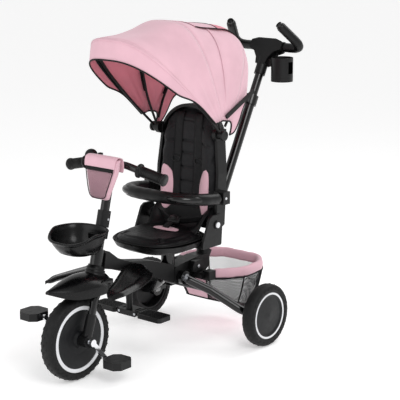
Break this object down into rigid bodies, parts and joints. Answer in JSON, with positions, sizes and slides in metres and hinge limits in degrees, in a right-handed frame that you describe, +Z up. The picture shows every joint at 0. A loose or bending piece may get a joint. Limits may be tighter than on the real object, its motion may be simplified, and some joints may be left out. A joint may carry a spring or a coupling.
{
  "type": "children's push tricycle",
  "caption": "Folding children's push tricycle with canopy, swivelling padded seat, safety bar, basket and parent push handle.",
  "frame": {"origin": "middle of the overall length and width, on the floor under the tricycle", "axes": "+X forwards (the way the child faces), +Y to the rider's left, +Z up"},
  "size_m": [1.0964, 0.545, 1.0414],
  "materials": {
    "gloss_black_steel": "gloss",
    "chrome": "polished",
    "steel": "satin",
    "matte_black_plastic": "satin",
    "dark_grey_plastic": "satin",
    "white_plastic": "gloss",
    "tyre": "matte",
    "grip_foam": "matte",
    "black_fabric": "woven",
    "pink_fabric": "woven",
    "mesh_fabric": "mesh"
  },
  "bodies": {
    "frame": {"main_frame": "gloss_black_steel", "beam_cover": "matte_black_plastic", "rear_spine": "matte_black_plastic", "knuckle_covers": "matte_black_plastic", "hinge_pins": "steel", "upper_footrests": "matte_black_plastic", "footrest_bracket": "gloss_black_steel", "rod_sleeve": "gloss_black_steel", "basket_rim": "pink_fabric", "basket_bag": "mesh_fabric"},
    "lower_footrest_left": {"lower_footrest_left": "matte_black_plastic"},
    "lower_footrest_right": {"lower_footrest_right": "matte_black_plastic"},
    "push_rod": {"push_rod_tube": "gloss_black_steel", "handle_hub": "matte_black_plastic", "handle_grips": "grip_foam", "cup_holder": "matte_black_plastic"},
    "rod_button": {"rod_button": "matte_black_plastic"},
    "rear_frame": {"rear_arms": "gloss_black_steel"},
    "brake_lever_left": {"brake_lever_left": "matte_black_plastic"},
    "brake_lever_right": {"brake_lever_right": "matte_black_plastic"},
    "rear_wheel_left": {"rear_tyre_left": "tyre", "rear_hub_left": "dark_grey_plastic"},
    "rear_wheel_right": {"rear_tyre_right": "tyre", "rear_hub_right": "dark_grey_plastic"},
    "steering": {"steering_stem": "gloss_black_steel", "fork": "gloss_black_steel", "fork_ends": "matte_black_plastic", "fender": "matte_black_plastic", "front_tray": "matte_black_plastic", "stem_clamps": "matte_black_plastic", "handlebar": "gloss_black_steel", "handlebar_grips": "grip_foam", "handlebar_bag": "pink_fabric", "bell": "matte_black_plastic"},
    "bell_lever": {"bell_lever": "matte_black_plastic"},
    "front_wheel": {"front_tyre": "tyre", "front_rim": "white_plastic", "front_discs": "dark_grey_plastic"},
    "cranks": {"crank_set": "chrome"},
    "pedal_left": {"pedal_left": "matte_black_plastic"},
    "pedal_right": {"pedal_right": "matte_black_plastic"},
    "seat": {"swivel_plate": "matte_black_plastic", "seat_shell": "matte_black_plastic", "seat_cushion": "black_fabric", "side_plates": "matte_black_plastic"},
    "recline_button_left": {"recline_button_left": "white_plastic"},
    "recline_button_right": {"recline_button_right": "white_plastic"},
    "backrest": {"back_shell": "matte_black_plastic", "back_pad": "black_fabric", "harness": "black_fabric", "storage_bag": "pink_fabric", "canopy_mounts": "matte_black_plastic", "canopy_rear": "pink_fabric"},
    "safety_bar": {"safety_bar": "steel", "safety_bar_foam": "grip_foam"},
    "canopy_mid": {"canopy_bow_mid": "matte_black_plastic", "canopy_middle": "pink_fabric"},
    "canopy_front": {"canopy_bow_front": "matte_black_plastic", "canopy_front": "pink_fabric", "canopy_visor": "pink_fabric"}
  },
  "joints": [
    {"name": "steer", "type": "hinge", "parent": "frame", "child": "steering", "pos_m": [0.38, 0, 0.127], "axis": [-0.2488, 0, 0.9685], "range_deg": [-30, 30]},
    {"name": "front_wheel_spin", "type": "hinge", "parent": "steering", "child": "front_wheel", "pos_m": [0.42, 0, 0.127], "axis": [0, 1, 0], "continuous": true},
    {"name": "crank_spin", "type": "hinge", "parent": "steering", "child": "cranks", "pos_m": [0.42, 0, 0.127], "axis": [0, 1, 0], "continuous": true},
    {"name": "pedal_left_spin", "type": "hinge", "parent": "cranks", "child": "pedal_left", "pos_m": [0.364, 0.115, 0.061], "axis": [0, 1, 0], "continuous": true},
    {"name": "pedal_right_spin", "type": "hinge", "parent": "cranks", "child": "pedal_right", "pos_m": [0.476, -0.115, 0.193], "axis": [0, 1, 0], "continuous": true},
    {"name": "bell_ring", "type": "hinge", "parent": "steering", "child": "bell_lever", "pos_m": [0.23, -0.086, 0.64], "axis": [0, 0, 1], "range_deg": [0, 15], "stiffness_Nm_per_rad": 0.2},
    {"name": "seat_swivel", "type": "hinge", "parent": "frame", "child": "seat", "pos_m": [-0.001, 0, 0.324], "axis": [0, 0, 1], "range_deg": [-180, 0]},
    {"name": "backrest_recline", "type": "hinge", "parent": "seat", "child": "backrest", "pos_m": [-0.069, 0, 0.404], "axis": [0, -1, 0], "range_deg": [0, 15]},
    {"name": "recline_button_left_press", "type": "slide", "parent": "seat", "child": "recline_button_left", "axis": [0, -1, 0], "range_m": [0, 0.004], "stiffness_N_per_m": 300},
    {"name": "recline_button_right_press", "type": "slide", "parent": "seat", "child": "recline_button_right", "axis": [0, 1, 0], "range_m": [0, 0.004], "stiffness_N_per_m": 300},
    {"name": "safety_bar_slide", "type": "slide", "parent": "backrest", "child": "safety_bar", "axis": [0.9934, 0, 0.1149], "range_m": [0, 0.06]},
    {"name": "canopy_fold", "type": "hinge", "parent": "backrest", "child": "canopy_mid", "pos_m": [-0.103, 0, 0.683], "axis": [0, -1, 0], "range_deg": [0, 20], "deforming": ["canopy_middle"]},
    {"name": "canopy_front_fold", "type": "hinge", "parent": "canopy_mid", "child": "canopy_front", "pos_m": [-0.103, 0, 0.683], "axis": [0, -1, 0], "range_deg": [0, 20], "deforming": ["canopy_front"]},
    {"name": "rear_frame_fold", "type": "hinge", "parent": "frame", "child": "rear_frame", "pos_m": [-0.036, 0, 0.22], "axis": [0, -1, 0], "range_deg": [0, 103]},
    {"name": "rear_wheel_left_spin", "type": "hinge", "parent": "rear_frame", "child": "rear_wheel_left", "pos_m": [-0.186, 0.2515, 0.1015], "axis": [0, 1, 0], "continuous": true},
    {"name": "rear_wheel_right_spin", "type": "hinge", "parent": "rear_frame", "child": "rear_wheel_right", "pos_m": [-0.186, -0.2515, 0.1015], "axis": [0, 1, 0], "continuous": true},
    {"name": "brake_lever_left_press", "type": "hinge", "parent": "rear_frame", "child": "brake_lever_left", "pos_m": [-0.22, 0.219, 0.1015], "axis": [0, -1, 0], "range_deg": [0, 20]},
    {"name": "brake_lever_right_press", "type": "hinge", "parent": "rear_frame", "child": "brake_lever_right", "pos_m": [-0.22, -0.219, 0.1015], "axis": [0, -1, 0], "range_deg": [0, 20]},
    {"name": "lower_footrest_left_fold", "type": "hinge", "parent": "frame", "child": "lower_footrest_left", "pos_m": [0.172, 0.032, 0.152], "axis": [1, 0, 0], "range_deg": [0, 80]},
    {"name": "lower_footrest_right_fold", "type": "hinge", "parent": "frame", "child": "lower_footrest_right", "pos_m": [0.172, -0.032, 0.152], "axis": [-1, 0, 0], "range_deg": [0, 80]},
    {"name": "push_rod_height", "type": "slide", "parent": "frame", "child": "push_rod", "axis": [-0.4679, 0, 0.8838], "range_m": [-0.06, 0.06]},
    {"name": "rod_button_press", "type": "slide", "parent": "frame", "child": "rod_button", "axis": [-0.8838, 0, -0.4679], "range_m": [0, 0.004], "stiffness_N_per_m": 300}
  ],
  "couplings": [
    {"joint": "crank_spin", "follows": "front_wheel_spin", "ratio": 1},
    {"joint": "canopy_front_fold", "follows": "canopy_fold", "ratio": 1}
  ]
}
